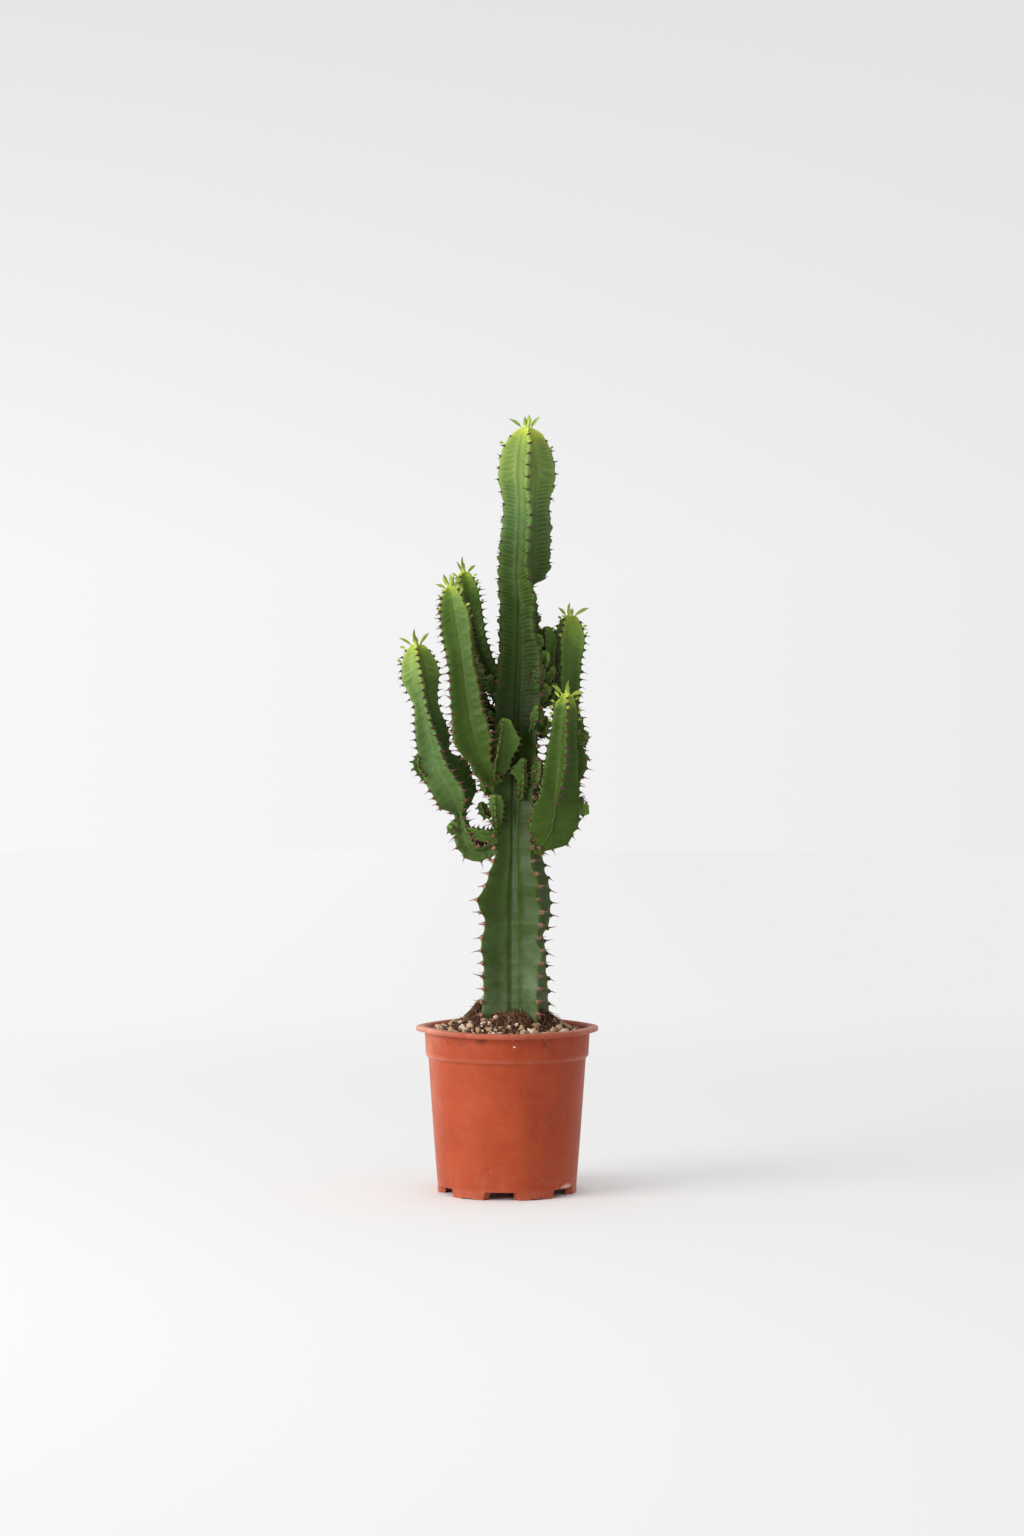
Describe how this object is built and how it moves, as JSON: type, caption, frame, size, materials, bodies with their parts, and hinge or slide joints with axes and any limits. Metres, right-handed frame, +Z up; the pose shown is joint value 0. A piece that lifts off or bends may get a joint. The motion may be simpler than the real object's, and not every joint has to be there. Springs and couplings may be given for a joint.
{
  "type": "potted euphorbia",
  "caption": "Columnar winged euphorbia with upright side branches and young leaves at the tips, rooted in gritty mix in a round nursery pot with a notched foot ring",
  "frame": {"origin": "On the ground, under the middle of the space that the plant and pot take up", "axes": "+Z runs up the main stem, +X points to the side of the two right-hand branches, and -Y is the front"},
  "size_m": [0.1864, 0.17, 0.7205],
  "materials": {
    "pot_plastic": "satin, lightly weathered",
    "potting_mix": "loose bark and fibre",
    "pumice": "rough",
    "stem_skin": "waxy",
    "young_leaf": "satin"
  },
  "bodies": {
    "root": {"branch_left_back": "stem_skin", "branch_left_front": "stem_skin", "branch_left_outer": "stem_skin", "branch_right_back": "stem_skin", "branch_right_front": "stem_skin", "leaf_left_back_1": "young_leaf", "leaf_left_back_2": "young_leaf", "leaf_left_back_3": "young_leaf", "leaf_left_back_4": "young_leaf", "leaf_left_front_1": "young_leaf", "leaf_left_front_2": "young_leaf", "leaf_left_front_3": "young_leaf", "leaf_left_front_4": "young_leaf", "leaf_left_outer_1": "young_leaf", "leaf_left_outer_2": "young_leaf", "leaf_left_outer_3": "young_leaf", "leaf_left_outer_4": "young_leaf", "leaf_main_1": "young_leaf", "leaf_main_2": "young_leaf", "leaf_main_3": "young_leaf", "leaf_main_4": "young_leaf", "leaf_main_5": "young_leaf", "leaf_right_back_1": "young_leaf", "leaf_right_back_2": "young_leaf", "leaf_right_back_3": "young_leaf", "leaf_right_back_4": "young_leaf", "leaf_right_front_1": "young_leaf", "leaf_right_front_2": "young_leaf", "leaf_right_front_3": "young_leaf", "leaf_right_front_4": "young_leaf", "main_stem": "stem_skin", "offset_bridge": "stem_skin", "offset_ear": "stem_skin", "offset_elbow": "stem_skin", "offset_hook": "stem_skin", "offset_inner_high": "stem_skin", "offset_inner_low": "stem_skin", "offset_knuckle": "stem_skin", "offset_lobe": "stem_skin", "offset_nook": "stem_skin", "offset_pincer": "stem_skin", "offset_shaded": "stem_skin", "offset_sprout": "stem_skin", "offset_star": "stem_skin", "offset_tuft": "stem_skin", "pot": "pot_plastic", "pumice_1": "pumice", "pumice_2": "pumice", "pumice_3": "pumice", "pumice_4": "pumice", "pumice_5": "pumice", "pumice_6": "pumice", "pumice_7": "pumice", "pumice_8": "pumice", "soil": "potting_mix"}
  },
  "joints": []
}
